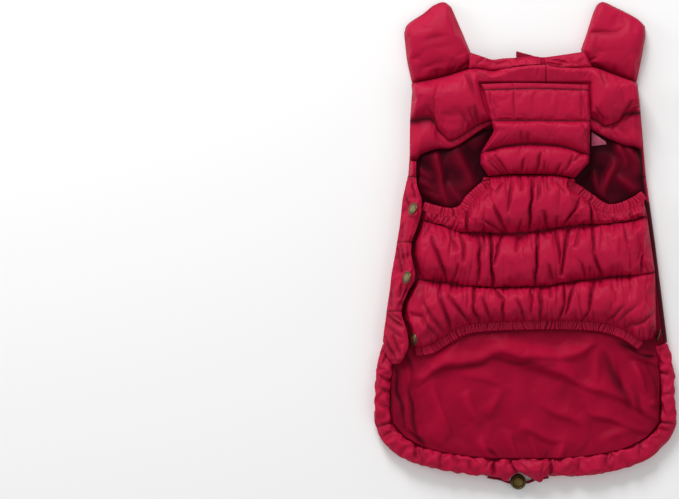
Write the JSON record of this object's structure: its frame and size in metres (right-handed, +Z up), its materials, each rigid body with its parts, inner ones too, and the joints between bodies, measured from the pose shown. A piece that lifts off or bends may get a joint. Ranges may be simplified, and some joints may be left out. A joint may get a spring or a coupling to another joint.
{
  "type": "dog puffer jacket",
  "caption": "Quilted padded jacket for a small dog, laid flat with its belly side up: stand-up collar, chest flap, elastic armholes and belly hem, snaps, leash slit and drawcord hem.",
  "frame": {"origin": "on the surface that it lies on, below the centre of the jacket's bounding box without its free drawcord and lock", "axes": "+Y along the back from the rear hem towards the collar, +Z up from the surface out of the belly side, +X to the right seen from above with the collar at the top"},
  "size_m": [0.2711, 0.4397, 0.0346],
  "materials": {
    "crimson_taffeta": "close satin-bright taffeta, softly shiny",
    "lining_satin": "smooth satin lining, glossier than the shell",
    "cord_braid": "round braided elastic cord, matt",
    "antique_brass": "brushed antique brass with a dark rim",
    "dark_bronze": "dark brushed bronze with a pale worn ring",
    "tan_leather": "smooth vegetable-tanned leather, stitched round",
    "pink_hook_tape": "matt woven hook tape"
  },
  "bodies": {
    "root": {"back_panel": "crimson_taffeta", "back_side_wrap": "crimson_taffeta", "back_lining": "lining_satin", "collar_left": "crimson_taffeta", "collar_right": "crimson_taffeta", "collar_fold": "crimson_taffeta", "collar_fall": "crimson_taffeta", "neck_tab_left": "crimson_taffeta", "neck_tab_right": "crimson_taffeta", "shoulder_left": "crimson_taffeta", "shoulder_right": "crimson_taffeta", "chest_flap": "crimson_taffeta", "belly_panel": "crimson_taffeta", "armhole_elastic_left": "crimson_taffeta", "armhole_elastic_right": "crimson_taffeta", "belly_elastic": "crimson_taffeta", "hem_casing": "crimson_taffeta", "drawcord_left": "cord_braid", "drawcord_right": "cord_braid", "cord_lock": "dark_bronze", "snap_1": "antique_brass", "snap_2": "antique_brass", "snap_3": "antique_brass", "snap_4": "antique_brass", "leash_slit_binding": "crimson_taffeta", "leather_patch": "tan_leather", "hook_tape": "pink_hook_tape"}
  },
  "joints": []
}
